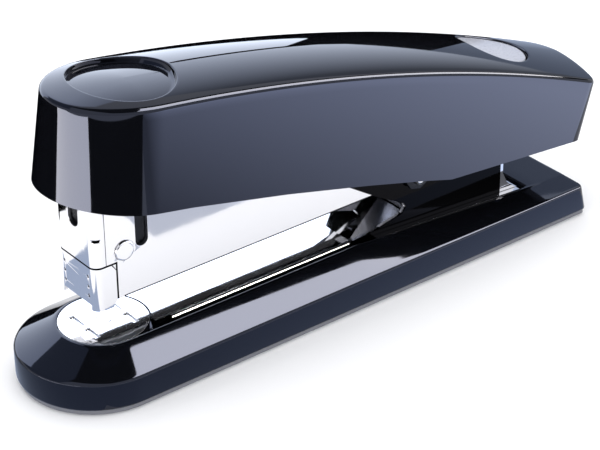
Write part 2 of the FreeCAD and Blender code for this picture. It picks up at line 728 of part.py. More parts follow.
def cover_outline(inset, drop):
    """The cover seen from the side: its front's fall, lower edge, rear edge and plenty above."""
    return [(-120, 27.8 - inset), (-130, 25.8 - inset), (-140, 22.9 - inset),
            (-148.6, 19.4 - inset), (-160, 15), (-160, -7.3 - drop), (-144.1, -6.65 - drop),
            (-111.0, -4.9 - drop), (-79.0, -4.36 - drop), (-50.0, -4.6 - drop),
            (-27.6, -5.2 - drop), (-17.9, -5.7 - drop), (34.5 - inset, 2.1 - drop),
            (37.4 - inset, 19.8), (38.4 - inset, 45), (-112, 45)]


def cover_shell():
    """Moulded cover: tapered, crowned and arched, with a thumb recess and a button hole."""
    outer = common(tapered_hull(0), arched_top(0), side_plate(cover_outline(0, 0), 60))
    inner = common(tapered_hull(shell_wall), arched_top(shell_wall),
                   side_plate(cover_outline(shell_wall, 6), 60))
    doc.recompute()
    shell = cut(outer, inner)
    pan = cut(rod(thumb_place, 0, 10, thumb_radius + 2, 25), arched_top(thumb_depth + shell_wall))
    bosses = [rod(along, 0, 17.1, 3.6, 12) for along in screw_rows]
    whole = common(fuse(shell, pan, *bosses), outer)
    doc.recompute()
    recess = cut(rod(thumb_place, 0, 10, thumb_radius, 30), arched_top(thumb_depth))
    hole = rod(button_place, 0, 5, button_radius + 0.25, 40)
    bores = [rod(along, 0, 10, 1.3, 12.5) for along in screw_rows]
    return in_cover_frame(cut(whole, recess, hole, *bores))


def lever_frame():
    """Steel lever inside the cover: two sides on the hinge pin, joined by a web on top."""
    outline = [(-132.0, 8.0), (-132.0, 17.0), (-20.0, 17.0), (-8.0, 10.0), (-18.4, -6.0),
               (-19.4, -9.3), (-21.6, -11.3), (-25.2, -11.3), (-27.4, -9.3), (-31.0, 3.0)]
    sides = both_sides([(a, b) for a, b in outline], 11.6, 12.8)
    web = block(-132.0, -30.0, -12.0, 12.0, 15.8, 17.0)
    frame = fuse(*sides, web)
    pin = across(0, 0, pin_radius + running_gap, 20)
    back = math.radians(float(cover_pitch))
    ahead, above = float(pivot_place - cover_place), float(pivot_height - cover_height)
    place(pin, ahead * math.cos(back) - above * math.sin(back), -20,
          ahead * math.sin(back) + above * math.cos(back), ALONG_Y)
    bores = [rod(along, 0, 10, 1.35, 12) for along in screw_rows]
    return in_cover_frame(cut(frame, pin, *bores))


def cover_screws():
    """Screws that hold the cover on the lever frame, from below."""
    pieces = [fuse(rod(along, 0, 14.0, 2.6, 1.8), rod(along, 0, 15.8, 1.25, 6.0))
              for along in screw_rows]
    return in_cover_frame(group(pieces))


def drive_spring():
    """Leaf spring from the lever frame's web to the driver's window."""
    tip_x = head_x + 5.4
    root_x = front + 62.0
    return side_plate([(tip_x, 58.9), (tip_x + 20, 59.2), (root_x - 6, 66.3), (root_x + 9, 62.6),
                       (root_x + 9, 63.5), (root_x - 5.5, 67.15), (tip_x + 20, 60.1),
                       (tip_x, 59.8)], 9.0)


def release_button():
    """Round push button in the cover's top, with a stem that reaches the latch lever."""
    cap = rod(button_place, 0, 22.6, button_radius, button_top - 22.6)
    return in_cover_frame(fuse(cap, rod(button_place, 0, 14.2, 2.9, 8.6)))


def button_guide():
    """Cup under the cover that guides the button and seats its spring."""
    cup = rod(button_place, 0, 16.0, button_radius + 1.6, 5.6)
    return in_cover_frame(cut(cup, rod(button_place, 0, 17.2, button_radius + 0.3, 8),
                              rod(button_place, 0, 10, 3.2, 10)))


finish(base_shell(), "base_shell")
finish(base_sole(), "base_sole")
finish(base_channel(), "base_channel")
finish(base_screws(), "base_screws")
finish(channel_nuts(), "channel_nuts")
finish(across(pivot_x, pivot_height, pin_radius, pin_half), "hinge_pin")
finish(hinge_clips(), "hinge_clips")
finish(return_spring(), "return_spring")
finish(anvil_disc(), "anvil_disc")
finish(anvil_post(), "anvil_post")
finish(anvil_knob(), "anvil_knob")
finish(coil(anvil_x, 0, 4.55, 3.9, 0.35, 1.5, 3.3), "anvil_spring")
finish(magazine_channel(), "magazine_channel")
finish(head_plate(), "head_plate")
finish(head_studs(), "head_studs")
finish(across(front + latch_place, latch_height, 1.5, head_half), "latch_pin")
finish(drawer_nose(), "drawer_nose")
finish(staple_rail(), "staple_rail")
finish(rod(head_x + 6.0, 0, 29.3, 1.2, rail_length - 5.6, ALONG_X), "pusher_rod")
finish(staple_strip(), "staple_strip")
finish(drawer_stop(), "drawer_stop")
finish(staple_pusher(), "staple_pusher")
finish(coil(head_x + 37.5, 0, 29.3, 1.75, 0.22, 12, 58.0, ALONG_X), "pusher_spring")
finish(block(head_x + 1.1, head_x + 1.7, -6.3, 6.3, driver_foot, 62), "driver_blade")
finish(driver_bracket(), "driver_bracket")
finish(across(front + slot_place, 56, 1.75, 8.7), "driver_pin")
finish(latch_lever(), "latch_lever")
finish(coil(front + 118, 0, 39.3, 2.0, 0.3, 3, 3.0), "latch_spring")
finish(cover_shell(), "cover_shell")
finish(lever_frame(), "lever_frame")
finish(cover_screws(), "cover_screws")
finish(drive_spring(), "drive_spring")
finish(coil(front + 88, 0, 44.6, 4.5, 0.5, 5, 15.2), "handle_spring")
finish(release_button(), "release_button")
finish(in_cover_frame(group([coil(button_place, 0, 17.7, 4.25, 0.35, 2.5, 4.2)])), "button_spring")
finish(button_guide(), "button_guide")

# ---------------------------------------------------------------- checks and files
doc.recompute()
for item in doc.Objects:
    if "Invalid" in item.State or "Error" in item.State:
        raise RuntimeError(f"{item.Name} failed: {item.State}")
os.makedirs("parts", exist_ok=True)
for piece in finished:
    if piece.Shape.isNull() or not piece.Shape.isValid() or not piece.Shape.Solids:
        raise RuntimeError(f"{piece.Label} is not a valid solid")
    piece.Shape.exportStep(f"parts/{piece.Label}.step")
    box = piece.Shape.BoundBox
    print(f"{piece.Label:18s} {len(piece.Shape.Solids)} solid(s), {piece.Shape.Volume:9.1f} mm3, "
          f"x {box.XMin:7.2f} {box.XMax:7.2f}  y {box.YMin:7.2f} {box.YMax:7.2f}  "
          f"z {box.ZMin:6.2f} {box.ZMax:6.2f}")
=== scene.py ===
# %% [markdown]
# # A front-loading desktop stapler
# The stapler is a gloss black cover over a chromed magazine, on a gloss black base. The packed
# CAD model gives every piece and every motion. This script gives the pieces their finish: the
# two big mouldings are worked out as smooth surfaces, the pressed steel gets the small rounded
# edges that catch the light, and every finish is a procedural material.

# %% Load the frame
import json
import math
import bmesh
import bpy
import numpy as np
from mathutils import Matrix, Vector


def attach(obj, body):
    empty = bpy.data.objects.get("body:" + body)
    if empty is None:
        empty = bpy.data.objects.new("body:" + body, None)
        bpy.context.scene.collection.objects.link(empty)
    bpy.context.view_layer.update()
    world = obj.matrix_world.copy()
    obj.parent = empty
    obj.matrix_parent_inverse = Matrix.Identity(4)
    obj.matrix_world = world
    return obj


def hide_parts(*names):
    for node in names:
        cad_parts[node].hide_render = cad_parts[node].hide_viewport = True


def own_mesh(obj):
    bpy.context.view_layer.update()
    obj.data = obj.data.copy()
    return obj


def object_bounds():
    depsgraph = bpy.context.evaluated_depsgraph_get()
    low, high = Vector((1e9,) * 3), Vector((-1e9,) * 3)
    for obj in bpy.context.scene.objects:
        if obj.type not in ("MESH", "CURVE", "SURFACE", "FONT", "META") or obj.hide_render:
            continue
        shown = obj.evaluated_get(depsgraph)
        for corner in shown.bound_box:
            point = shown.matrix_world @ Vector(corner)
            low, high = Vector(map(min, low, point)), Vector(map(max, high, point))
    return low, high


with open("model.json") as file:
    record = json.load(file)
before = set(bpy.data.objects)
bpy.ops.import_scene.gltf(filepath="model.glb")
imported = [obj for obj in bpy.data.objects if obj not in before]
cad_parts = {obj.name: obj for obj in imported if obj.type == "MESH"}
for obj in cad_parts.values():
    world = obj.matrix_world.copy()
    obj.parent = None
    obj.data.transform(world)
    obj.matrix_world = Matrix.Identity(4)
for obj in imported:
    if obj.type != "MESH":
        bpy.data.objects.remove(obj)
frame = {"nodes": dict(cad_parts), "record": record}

cad_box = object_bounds()
MM = 0.001
body_of = {node: body for body, nodes in frame["record"]["behaviour"]["bodies"].items()
           for node in nodes}
slot_of = {row["node"]: row["material_slot"] for row in frame["record"]["subparts"]}
front = cad_box[0][0] / MM
print("frame:", len(frame["nodes"]), "nodes, front of base at", round(front, 2), "mm")

# %% [markdown]
# ## Colours and nodes
# A maker names a colour as a hex value, which is sRGB, and a renderer adds up light, which is
# linear. One function turns the first into the second. A second small function adds a node, sets
# its values and wires its inputs, so that a material reads as a list of steps.


# %% Two helpers for materials
def linear(code):
    """An sRGB hex colour as linear red, green, blue and alpha."""
    values = np.array([int(code[i:i + 2], 16) for i in (0, 2, 4)]) / 255
    bent = np.where(values <= 0.04045, values / 12.92, ((values + 0.055) / 1.055) ** 2.4)
    return (*bent.tolist(), 1.0)


def add(tree, kind, settings=None, inputs=None):
    """Add one node: settings are its properties, inputs are values or sockets to link.

    An input is named by its label, or by its number where several have the same label.
    """
    node = tree.nodes.new(kind)
    for name, value in (settings or {}).items():
        setattr(node, name, value)
    for name, value in (inputs or {}).items():
        if isinstance(value, bpy.types.NodeSocket):
            tree.links.new(value, node.inputs[name])
        else:
            node.inputs[name].default_value = value
    return node


def start_material(name, **surface):
    """A material with one Principled shader; surface holds values that are the same all over."""
    made = bpy.data.materials.new(name)
    made.use_nodes = True
    shader = made.node_tree.nodes["Principled BSDF"]
    for socket, value in surface.items():
        label = socket.replace("_", " ").title().replace("Ior", "IOR")
        shader.inputs[label].default_value = value
    return made, made.node_tree, shader


# %% [markdown]
# ## Finishes
# - **Gloss black ABS** is injection moulded in a polished tool. It is a blue-black with a mirror
#   gloss, and the eye reads it only through what it reflects. Handling leaves a very faint haze.
# - **Bright chrome plate** over pressed steel is a mirror too, with a trace of rolling waviness.
# - **Zinc plate**, **ground steel** and **spring steel** are duller, and show fine lines or spots.
# - **Moulded nylon** and **rubber** scatter the light, with a fine texture from the tool.


# %% Gloss black ABS
def gloss_abs():
    made, tree, shader = start_material("gloss_black_abs", base_color=linear("0B0C10"), ior=1.5,
                                        specular_tint=linear("D2DCFF"))
    spot = add(tree, "ShaderNodeTexCoord").outputs["Object"]
    haze = add(tree, "ShaderNodeTexNoise", inputs={"Vector": spot, "Scale": 60.0, "Detail": 4.0})
    rough = add(tree, "ShaderNodeMapRange", inputs={"Value": haze.outputs["Fac"], "From Min": 0.35,
                "From Max": 0.7, "To Min": 0.03, "To Max": 0.07})
    tree.links.new(rough.outputs["Result"], shader.inputs["Roughness"])
    flow = add(tree, "ShaderNodeTexNoise", inputs={"Vector": spot, "Scale": 22.0, "Detail": 1.0})
    bump = add(tree, "ShaderNodeBump", inputs={"Height": flow.outputs["Fac"], "Strength": 0.012,
               "Distance": 0.0006})
    tree.links.new(bump.outputs["Normal"], shader.inputs["Normal"])
    return made


# %% Metals: one recipe, four finishes
def metal(name, colour, low, high, grain, grain_scale, stretch=(1, 1, 1)):
    """Metal whose roughness wanders between low and high; grain is the depth of its fine lines."""
    made, tree, shader = start_material(name, base_color=linear(colour), metallic=1.0)
    place = add(tree, "ShaderNodeTexCoord").outputs["Object"]
    drawn = add(tree, "ShaderNodeMapping", inputs={"Vector": place, "Scale": stretch})
    cloud = add(tree, "ShaderNodeTexNoise", inputs={"Vector": place, "Scale": 90.0, "Detail": 3.0})
    rough = add(tree, "ShaderNodeMapRange", inputs={"Value": cloud.outputs["Fac"], "From Min": 0.3,
                "From Max": 0.7, "To Min": low, "To Max": high})
    tree.links.new(rough.outputs["Result"], shader.inputs["Roughness"])
    lines = add(tree, "ShaderNodeTexNoise", inputs={"Vector": drawn.outputs["Vector"],
                "Scale": grain_scale, "Detail": 2.0})
    bump = add(tree, "ShaderNodeBump", inputs={"Height": lines.outputs["Fac"], "Strength": grain,
               "Distance": 0.0002})
    tree.links.new(bump.outputs["Normal"], shader.inputs["Normal"])
    return made


# %% [markdown]
# Plated steel here gets painted shade in its colour: it is darkened where pieces meet and in
# corners, found with ambient occlusion over half a millimetre, and along thin dark lines at seams
# and folds, each a band on Object coordinates, given by its place in millimetres.


# %% Painted shade in corners and along seams
shade_reach, painted_shade_colour = 0.5, "0C0C0F"


def with_painted_shade(made, edges=()):
    """Paint shade into a metal's colour: darker in its corners and along thin bands.

    Each entry of edges is a band (axis, place, half width, axis that bounds it, its lowest, its
    highest), in mm.
    """
    tree = made.node_tree
    shader = tree.nodes["Principled BSDF"]
    plain = tuple(shader.inputs["Base Color"].default_value)
    # painted shade: ambient occlusion darkens the colour in corners and gaps
    corner = add(tree, "ShaderNodeAmbientOcclusion", {"samples": 8},
                 {"Color": plain, "Distance": shade_reach * MM})
    unshaded = add(tree, "ShaderNodeMapRange", inputs={"Value": corner.outputs["AO"], "From Min": 0.35,
                "From Max": 0.85, "To Min": 0.04, "To Max": 1.0}).outputs["Result"]
    spot = add(tree, "ShaderNodeTexCoord").outputs["Object"]
    axes = add(tree, "ShaderNodeSeparateXYZ", inputs={"Vector": spot}).outputs
    # painted shade lines: each band darkens the colour along a seam or fold
    for axis, place, half, bound, low, high in edges:
        middle, reach = (low + high) / 2, (high - low) / 2
        near = add(tree, "ShaderNodeMath", {"operation": "COMPARE"},
                   {0: axes[axis], 1: place * MM, 2: half * MM})
        inside = add(tree, "ShaderNodeMath", {"operation": "COMPARE"},
                     {0: axes[bound], 1: middle * MM, 2: reach * MM})
        both = add(tree, "ShaderNodeMath", {"operation": "MULTIPLY"},
                   {0: near.outputs["Value"], 1: inside.outputs["Value"]})
        left = add(tree, "ShaderNodeMath", {"operation": "SUBTRACT", "use_clamp": True},
                   {0: unshaded, 1: both.outputs["Value"]})
        unshaded = left.outputs["Value"]
    # the colour goes from the painted shade colour to the plain metal
    shown = add(tree, "ShaderNodeMix", {"data_type": "RGBA"}, {"Factor": unshaded})
    shaded, bright = [socket for socket in shown.inputs if socket.type == "RGBA"]
    shaded.default_value, bright.default_value = linear(painted_shade_colour), plain
    result = [socket for socket in shown.outputs if socket.type == "RGBA"][0]
    tree.links.new(result, shader.inputs["Base Color"])
    return made


# %% Nylon, rubber, lacquer: moulded and matt
def moulded(name, colour, shade, low, high, texture_mm, depth):
    """A dull plastic: a fine tool texture, and a colour that drifts a little towards shade."""
    made, tree, shader = start_material(name, ior=1.5)
    place = add(tree, "ShaderNodeTexCoord").outputs["Object"]
    drift = add(tree, "ShaderNodeTexNoise", inputs={"Vector": place, "Scale": 40.0, "Detail": 3.0})
    ramp = add(tree, "ShaderNodeValToRGB", inputs={"Fac": drift.outputs["Fac"]})
    ramp.color_ramp.elements[0].color = linear(shade)
    ramp.color_ramp.elements[1].color = linear(colour)
    tree.links.new(ramp.outputs["Color"], shader.inputs["Base Color"])
    grit = add(tree, "ShaderNodeTexNoise", inputs={"Vector": place, "Scale": 1 / (texture_mm * MM),
               "Detail": 2.0})
    rough = add(tree, "ShaderNodeMapRange", inputs={"Value": grit.outputs["Fac"], "From Min": 0.3,
                "From Max": 0.7, "To Min": low, "To Max": high})
    tree.links.new(rough.outputs["Result"], shader.inputs["Roughness"])
    bump = add(tree, "ShaderNodeBump", inputs={"Height": grit.outputs["Fac"], "Strength": depth,
               "Distance": 0.0001})
    tree.links.new(bump.outputs["Normal"], shader.inputs["Normal"])
    return made


finish = {
    "gloss_black": gloss_abs(),
    "sole_rubber": moulded("sole_rubber", "8E8F96", "7C7D84", 0.5, 0.7, 0.8, 0.3),
    # the chrome's colour carries painted shade in its corners
    "chromed_steel": with_painted_shade(metal("chrome_with_painted_corner_shade", "EAEAED", 0.03, 0.075, 0.02, 150.0)),
    "zinc_steel": metal("zinc_plate", "C3C5C9", 0.2, 0.34, 0.1, 500.0),
    "bright_pin": metal("ground_steel", "D5D5D8", 0.12, 0.22, 0.1, 900.0, (6, 1, 1)),
    "black_clip": moulded("black_nylon_clip", "17181C", "101114", 0.35, 0.5, 0.6, 0.3),
    "spring_steel": metal("spring_steel", "8C8C90", 0.2, 0.32, 0.1, 700.0),
    "staple_wire": metal("galvanised_wire", "CFCFD2", 0.2, 0.32, 0.2, 1200.0, (1, 0.1, 0.1)),
    "black_nylon": moulded("black_nylon", "1A1B20", "121317", 0.3, 0.5, 0.7, 0.3),
    "black_steel": metal("black_oxide", "2A2B2F", 0.25, 0.4, 0.1, 500.0),
    "grey_button": moulded("silver_grey_lacquer", "B4B6BF", "ABADB7", 0.24, 0.34, 0.4, 0.1),
}
# places of the painted shade lines: the seam between nose and head plate, the seam in the side,
# the magazine's lower edge, and the folded edge of the base channel
seam_height, side_seam, magazine_foot, channel_fold = 37.4, front + 24.5, 26.3, -10.8
# chrome with painted shade lines along its seams and along the magazine's lower edge
seam_shaded_chrome = with_painted_shade(metal("chrome_with_painted_seam_shade", "EAEAED", 0.03, 0.075, 0.02, 150.0), [
    ("Z", seam_height, 0.28, "X", front + 10, side_seam + 0.3),
    ("X", side_seam, 0.28, "Z", magazine_foot - 4, seam_height + 0.3),
    ("Z", magazine_foot, 0.4, "X", side_seam + 2, front + 126)])
# chrome with a painted shade line along the channel's fold
fold_shaded_chrome = with_painted_shade(metal("chrome_with_painted_fold_shade", "EAEAED", 0.03, 0.075, 0.02, 150.0), [
    ("Y", channel_fold, 0.32, "X", front + 38, front + 160)])
own_finish = {"magazine_channel": seam_shaded_chrome, "head_plate": seam_shaded_chrome,
              "drawer_nose": seam_shaded_chrome, "base_channel": fold_shaded_chrome}
print("finishes:", ", ".join(sorted(finish)))

# %% [markdown]
# ## Meshes from rings
# Both mouldings are stacks of closed rings. A ring is an array of points round the piece; a stack
# is an array of rings. Neighbouring rings are joined by quads. Where a ring has shrunk to a line or
# a point, its points coincide and are merged, which closes the skin.


# %% Rings to mesh
def quads(rows, around, start, closed):
    """Corner numbers of the quads between rows of points numbered from start."""
    numbers = start + np.arange(rows * around).reshape(rows, around)
    if closed:
        numbers = np.concatenate([numbers, numbers[:, :1]], axis=1)
    low, high = numbers[:-1], numbers[1:]
    return np.stack([low[:, :-1], low[:, 1:], high[:, 1:], high[:, :-1]], axis=-1).reshape(-1, 4)


def skin(name, sheets, node, sharp_degrees=40):
    """Join sheets of points (rows, around, 3), each closed or open, into one closed mesh."""
    points, faces, start = [], [], 0
    for sheet, closed in sheets:
        rows, around = sheet.shape[:2]
        points.append(sheet.reshape(-1, 3))
        faces.append(quads(rows, around, start, closed))
        start += rows * around
    mesh = bpy.data.meshes.new(name)
    mesh.from_pydata((np.concatenate(points) * MM).tolist(), [], np.concatenate(faces).tolist())
    piece = bpy.data.objects.new(name, mesh)
    bpy.context.scene.collection.objects.link(piece)
    work = bmesh.new()
    work.from_mesh(mesh)
    bmesh.ops.remove_doubles(work, verts=work.verts, dist=0.00002)
    bmesh.ops.dissolve_degenerate(work, edges=work.edges, dist=0.000002)
    bmesh.ops.recalc_face_normals(work, faces=work.faces)
    open_edges = sum(1 for edge in work.edges if not edge.is_manifold)
    work.to_mesh(mesh)
    work.free()
    mesh.shade_smooth()
    mesh.set_sharp_from_angle(angle=math.radians(sharp_degrees))
    dress(piece, node)
    print(name, len(mesh.polygons), "faces,", open_edges, "open edges")
    return piece


def dress(piece, *nodes):
    """Give a piece the finish that its CAD node's slot names and the node's body, and let it stand for
    the node.
    """
    first = nodes[0]
    piece.data.materials.clear()
    piece.data.materials.append(own_finish.get(first, finish[slot_of[first]]))
    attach(piece, body_of[first])
    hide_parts(*nodes)


def blend(first, second, share):
    """Points part of the way from first to second, one row for each share."""
    share = np.asarray(share, float).reshape(-1, 1, 1)
    return first[None] * (1 - share) + second[None] * share


def rounded(before, corner, after, steps=4):
    """Rows of a soft corner: the curve that leaves before towards corner and arrives at after."""
    share = (np.arange(1, steps + 1) / (steps + 1)).reshape(-1, 1, 1)
    return before[None] * (1 - share) ** 2 + 2 * corner[None] * share * (1 - share) \
        + after[None] * share ** 2


# %% [markdown]
# ## Base moulding
# The base is half-round in front and square behind. Going up from the sole, its outline stays the
# same for the upright skirt, then leans in to the flat top; inside the top is a well that holds the
# chromed channel. Every ring is the same outline with another half width, so one function of
# (half width, centre of the round front, rear end, height) draws them all.

# %% Outline of the base
base_half, deck_half, well_half = 22.5, 13.4, 12.5
base_front_centre, anvil_centre = front + base_half, front + 25.0
base_rear, well_rear, rear_lean = front + 184.0, front + 168.2, 2.0
sole_top, skirt_top, deck_top, deck_rear = 1.6, 10.0, 15.3, 10.6
fall_start, fall_end = front + 102.5, front + 165.5
ARC, SIDE, BACK = 72, 90, 12


def deck_height(along):
    """Height of the base's flat top: level in front, then falling straight to the rear."""
    return np.interp(along, [fall_start, fall_end, base_rear], [deck_top, deck_rear + 0.3, deck_rear])


def base_ring(half, centre, rear, height, corner=2.0):
    """A ring with a half-round front of radius half and a rear end with rounded corners."""
    turn = np.linspace(math.pi / 2, -math.pi / 2, ARC + 1)
    arc = np.stack([centre - half * np.cos(turn), half * np.sin(turn)], axis=1)
    corner = min(corner, half * 0.5)
    along = centre + (rear - corner - centre) * np.linspace(0, 1, SIDE + 1)[1:]
    left = np.stack([along, np.full(SIDE, -half)], axis=1)
    bend = np.linspace(-math.pi / 2, 0, BACK + 1)[1:]
    low = np.stack([rear - corner + corner * np.cos(bend), -half + corner + corner * np.sin(bend)], 1)
    right_side = (left * [1, -1])[::-1]
    plan = np.concatenate([arc, left, low, (low * [1, -1])[::-1], right_side])
    up = height(plan[:, 0]) if callable(height) else np.full(len(plan), float(height))
    return np.column_stack([plan, up])


def base_moulding():
    """Rings from the underside's middle, out, up the skirt, in over the top and down the well."""
    def deck(lift):
        return lambda along: deck_height(along) + lift
    def skirt(height, inset=0.0):
        rear = base_rear - inset + rear_lean * (skirt_top - height) / (skirt_top - sole_top)
        return base_ring(base_half - inset, base_front_centre, rear, height)
    middle = base_ring(0.001, base_front_centre, base_rear - 20, sole_top)
    foot_in, foot, foot_up = skirt(sole_top, 0.7), skirt(sole_top), skirt(sole_top + 0.7)
    edge_low = skirt(skirt_top - 0.7)
    edge = base_ring(base_half, base_front_centre, base_rear, skirt_top)
    top = base_ring(deck_half, anvil_centre, base_rear - 0.6, deck(0), 1.2)
    edge_in = edge + (top - edge) * 0.08
    near_top = edge + (top - edge) * 0.93
    lip = base_ring(well_half + 0.5, anvil_centre, well_rear + 0.5, deck(0), 0.8)
    wall = base_ring(well_half, anvil_centre, well_rear, deck(-0.4), 0.5)
    pit = base_ring(well_half, anvil_centre, well_rear, deck(-2.4), 0.5)
    floor = base_ring(0.001, anvil_centre, well_rear - 10, deck(-2.4))
    rows = [middle[None], foot_in[None], rounded(foot_in, foot, foot_up, 2), foot_up[None],
            edge_low[None], rounded(edge_low, edge, edge_in, 4), edge_in[None],
            blend(edge_in, near_top, np.linspace(0.08, 1, 12)), rounded(near_top, top, lip, 4),
            lip[None], rounded(lip, wall + [0, 0, 0.4], wall, 2), wall[None], pit[None],
            floor[None]]
    return skin("base_moulding", [(np.concatenate(rows), True)], "base_shell", 50)


base_moulding()

# %% [markdown]
# ## Cover moulding
# The cover is worked out in its own frame, which falls 14 degrees towards the rear: *run* goes
# along it and *rise* away from it. In plan it is a half ellipse in front with straight sides, a
# little narrower at the top, as a moulding must be to leave its tool. Its top edge is one long
# arc, and its top is crowned across, with a soft ridge down the middle. The round recess for the
# thumb and the hole for the button are rings of their own; the top is stretched between those
# rings and the outline, so every edge is a real edge of the mesh.

# %% Shape of the cover
pitch = math.radians(14.0)
cover_origin = np.array([front + 150.5, 31.0])
arch_apex, arch_place, arch_radius, crown_rise = 26.7, -56.0, 626.0, 3.4
thumb_place, thumb_radius, thumb_depth = -125.5, 14.25, 2.0
button_place, button_radius, button_gap = 8.3, 10.6, 0.25
button_well, button_bevel, button_step = 5.0, 0.9, 0.6
wall, rim_round, corner_round = 2.2, 1.1, 2.5
COLUMNS, STATIONS, FRONT = 32, 120, 72


def half_width(rise):
    """Half width of the cover at a height: a straight taper from 21 mm to 17 mm over 42 mm."""
    return 21.0 - 4.0 * (rise + 10) / 42


def front_centre(rise):
    """Where the straight sides end and the half ellipse of the front begins."""
    return -121.5 - 3.0 * (rise + 10) / 42


def front_reach(rise):
    """How far the half ellipse reaches out in front of its centre."""
    return 22.2 + 1.8 * (rise + 10) / 42


def rear_end(rise):
    """The rear face: it leans back in two straight stretches, whichever is further in."""
    return np.minimum(34.5 + (rise - 2.1) * 0.1638, 37.4 + (rise - 19.8) * 0.0397)


def arch(run):
    """Height of the cover's top edge."""
    return arch_apex - (run - arch_place) ** 2 / (2 * arch_radius)


def lower_edge(run):
    """Height of the cover's lower edge."""
    return np.interp(run, [-144.1, -111.0, -79.0, -50.0, -27.6, -17.9, 34.5],
                     [-6.65, -4.9, -4.36, -4.6, -5.2, -5.7, 2.1])


def crown(run, across):
    """Height of the top: the arch, plus a crown that is full in the middle and nothing at the rim."""
    rim = arch(run)
    ahead = np.minimum(run - front_centre(rim), 0) / front_reach(rim)
    out = np.clip(np.sqrt(ahead ** 2 + (across / half_width(rim)) ** 2), 0, 1)
    return rim + crown_rise * (0.86 * (1 - out ** 2) + 0.14 * (1 - out))


def cover_plan(rise, inset, share):
    """The outline at some height, set in; share places the side stations from front to rear."""
    def part(start, stop):
        return rise[start:stop] if np.ndim(rise) else np.full(stop - start, float(rise))
    turn = np.linspace(math.pi / 2, -math.pi / 2, FRONT + 1)
    n_side, n_back = len(share) - 1, COLUMNS - 1
    cuts = np.cumsum([0, FRONT + 1, n_side, n_back, n_side])
    high = part(cuts[0], cuts[1])
    arc = np.stack([front_centre(high) - (front_reach(high) - inset) * np.cos(turn),
                    (half_width(high) - inset) * np.sin(turn)], 1)

    def side(high, shares, sign):
        corner = rear_end(high) - inset - corner_round
        return np.stack([front_centre(high) + (corner - front_centre(high)) * shares,
                         sign * (half_width(high) - inset)], 1)
    left = side(part(cuts[1], cuts[2]), share[1:], -1)
    right = side(part(cuts[3], cuts[4]), share[1:][::-1], 1)
    high = part(cuts[2], cuts[3])
    column = np.linspace(-1, 1, COLUMNS + 1)[1:-1]
    bend = np.clip((np.abs(column) - 0.75) / 0.25, 0, 1) * math.pi / 2
    flat = half_width(high) - inset - corner_round
    across = np.sign(column) * (flat * np.minimum(np.abs(column) / 0.75, 1)
                                + corner_round * np.sin(bend))
    back = np.stack([rear_end(high) - inset - corner_round * (1 - np.cos(bend)), across], 1)
    return np.concatenate([arc, left, back, right])


def rim_plan(inset, share):
    """The outline where the wall meets the top: its height follows the top, found in few steps."""
    high = np.full(FRONT + 1 + 2 * (len(share) - 1) + COLUMNS - 1, 20.0)
    for _ in range(6):
        plan = cover_plan(high, inset, share)
        high = crown(plan[:, 0], plan[:, 1])
    return plan, high


def to_stapler(run, across, rise):
    """From the cover's own frame to the stapler's."""
    return np.stack([cover_origin[0] + run * math.cos(pitch) + rise * math.sin(pitch), across,
                     cover_origin[1] - run * math.sin(pitch) + rise * math.cos(pitch)], axis=-1)


def on_top(plan):
    """Points on the crowned top over plan points (run, across)."""
    return to_stapler(plan[..., 0], plan[..., 1], crown(plan[..., 0], plan[..., 1]))


# %% The cover's wall, its lower edge and its inside
share = np.linspace(0, 1, STATIONS + 1)
rim, rim_high = rim_plan(0, share)
inset_plan, _ = rim_plan(rim_round, share)


def wall_row(inset, drop):
    """A ring round the wall, drop of the way from the rim (0) to the lower edge (1)."""
    low = lower_edge(rim[:, 0])
    high = rim_high - rim_round * (inset == 0) - 5.0 * (inset > 0)
    for _ in range(3):
        level = high + (low - high) * drop
        plan = cover_plan(level, inset, share)
        low = lower_edge(plan[:, 0])
    return to_stapler(plan[:, 0], plan[:, 1], level)


outside = [wall_row(0, drop) for drop in np.linspace(0, 1, 15)]
inside = [wall_row(wall, drop) for drop in np.linspace(1, 0, 8)]
sharp_rim = to_stapler(rim[:, 0], rim[:, 1], rim_high)
top_ring = on_top(inset_plan)
ceiling_line = np.stack([np.clip(rim[:, 0], -120.0, 20.0), rim[:, 1] * 0.0], 1)
ceiling = to_stapler(ceiling_line[:, 0], ceiling_line[:, 1], arch(ceiling_line[:, 0]) - 5.0)
shell_rows = [top_ring[None], rounded(top_ring, sharp_rim, outside[0], 5), np.stack(outside),
              rounded(outside[-1], (outside[-1] + inside[0]) / 2, inside[0], 1), np.stack(inside),
              ceiling[None]]
print("cover wall:", sum(len(row) for row in shell_rows), "rings of", len(rim), "points")

# %% The cover's top, stretched round its two holes
side_a, side_b = inset_plan[FRONT:FRONT + STATIONS + 1], inset_plan[::-1][:STATIONS]
side_b = np.concatenate([inset_plan[:1], side_b])
back_row = inset_plan[FRONT + STATIONS:FRONT + STATIONS + COLUMNS + 1]


def station(run):
    """Number of the side station nearest to a place along the cover."""
    return int(np.argmin(np.abs(side_a[:, 0] - run)))


def cross(number):
    """Plan points straight across the top at a station, from left to right."""
    fraction = np.linspace(0, 1, COLUMNS + 1)[:, None]
    return side_a[number] * (1 - fraction) + side_b[number] * fraction


def around_hole(loop, centre, radius, depth, edge=0.35):
    """Sheet from a loop of plan points to a round hole, down its wall and across its floor.

    Each loop point slides straight towards the hole's centre until it is on the hole's circle.
    """
    away = loop - [centre, 0]
    away = away / np.linalg.norm(away, axis=1, keepdims=True)
    lip = away * (radius + edge) + [centre, 0]

    def sunk(part, by):
        run, side = centre + away[:, 0] * radius * part, away[:, 1] * radius * part
        return to_stapler(run, side, crown(run, side) - by)
    spread = (np.linspace(0, 1, 14) ** 0.8).reshape(-1, 1, 1)
    top = on_top(loop[None] * (1 - spread) + lip[None] * spread)
    start, corner, foot = sunk(1.0, edge), sunk(1.0, 0.0), sunk(1.0, depth - 0.25)
    inner = [sunk(part, depth) for part in (0.98, 0.9, 0.8, 0.7, 0.6, 0.5, 0.4, 0.3, 0.2, 0.1, 0.0)]
    return np.concatenate([top, rounded(top[-1], corner, start, 3), start[None], foot[None],
                           np.stack(inner)])


